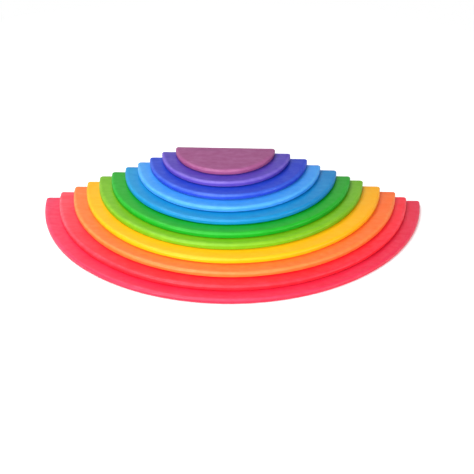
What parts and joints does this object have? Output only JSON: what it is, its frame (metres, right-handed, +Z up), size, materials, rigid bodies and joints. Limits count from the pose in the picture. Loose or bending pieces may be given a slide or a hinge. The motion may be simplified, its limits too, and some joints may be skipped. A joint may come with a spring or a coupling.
{
  "type": "rainbow semicircle set",
  "caption": "Stack of loose flat half-round wooden boards in graded sizes, each stained another rainbow colour, for stacking, bridging and building play.",
  "frame": {"origin": "middle of the largest board's footprint, on its underside, which is the surface the stack stands on", "axes": "+X along the boards' straight edges to the player's right, +Y from the arcs towards the straight edges at the back, +Z up through the stack"},
  "size_m": [0.34, 0.1724, 0.058],
  "materials": {
    "crimson_stained_lime": "crimson water stain on fine-grained lime wood, waxed, silky sheen",
    "red_stained_lime": "red water stain on fine-grained lime wood, waxed, silky sheen",
    "orange_stained_lime": "orange water stain on fine-grained lime wood, waxed, silky sheen",
    "yellow_stained_lime": "yellow water stain on fine-grained lime wood, waxed, silky sheen",
    "lime_green_stained_lime": "yellow-green water stain on fine-grained lime wood, waxed, silky sheen",
    "green_stained_lime": "green water stain on fine-grained lime wood, waxed, silky sheen",
    "blue_stained_lime": "mid-blue water stain on fine-grained lime wood, waxed, silky sheen",
    "sky_blue_stained_lime": "sky-blue water stain on fine-grained lime wood, waxed, silky sheen",
    "ultramarine_stained_lime": "ultramarine water stain on fine-grained lime wood, waxed, silky sheen",
    "violet_stained_lime": "violet water stain on fine-grained lime wood, waxed, silky sheen",
    "plum_stained_lime": "plum water stain on fine-grained lime wood, waxed, silky sheen"
  },
  "bodies": {
    "crimson_board": {"crimson_board": "crimson_stained_lime"},
    "red_board": {"red_board": "red_stained_lime"},
    "orange_board": {"orange_board": "orange_stained_lime"},
    "yellow_board": {"yellow_board": "yellow_stained_lime"},
    "lime_board": {"lime_board": "lime_green_stained_lime"},
    "green_board": {"green_board": "green_stained_lime"},
    "blue_board": {"blue_board": "blue_stained_lime"},
    "sky_blue_board": {"sky_blue_board": "sky_blue_stained_lime"},
    "ultramarine_board": {"ultramarine_board": "ultramarine_stained_lime"},
    "violet_board": {"violet_board": "violet_stained_lime"},
    "plum_board": {"plum_board": "plum_stained_lime"}
  },
  "joints": [
    {"name": "red_lift", "type": "slide", "parent": "crimson_board", "child": "red_board", "axis": [0, 0, 1], "range_m": [0, 0.03]},
    {"name": "orange_lift", "type": "slide", "parent": "red_board", "child": "orange_board", "axis": [0, 0, 1], "range_m": [0, 0.03]},
    {"name": "yellow_lift", "type": "slide", "parent": "orange_board", "child": "yellow_board", "axis": [0, 0, 1], "range_m": [0, 0.03]},
    {"name": "lime_lift", "type": "slide", "parent": "yellow_board", "child": "lime_board", "axis": [0, 0, 1], "range_m": [0, 0.03]},
    {"name": "green_lift", "type": "slide", "parent": "lime_board", "child": "green_board", "axis": [0, 0, 1], "range_m": [0, 0.03]},
    {"name": "blue_lift", "type": "slide", "parent": "green_board", "child": "blue_board", "axis": [0, 0, 1], "range_m": [0, 0.03]},
    {"name": "sky_blue_lift", "type": "slide", "parent": "blue_board", "child": "sky_blue_board", "axis": [0, 0, 1], "range_m": [0, 0.03]},
    {"name": "ultramarine_lift", "type": "slide", "parent": "sky_blue_board", "child": "ultramarine_board", "axis": [0, 0, 1], "range_m": [0, 0.03]},
    {"name": "violet_lift", "type": "slide", "parent": "ultramarine_board", "child": "violet_board", "axis": [0, 0, 1], "range_m": [0, 0.03]},
    {"name": "plum_lift", "type": "slide", "parent": "violet_board", "child": "plum_board", "axis": [0, 0, 1], "range_m": [0, 0.03]}
  ]
}
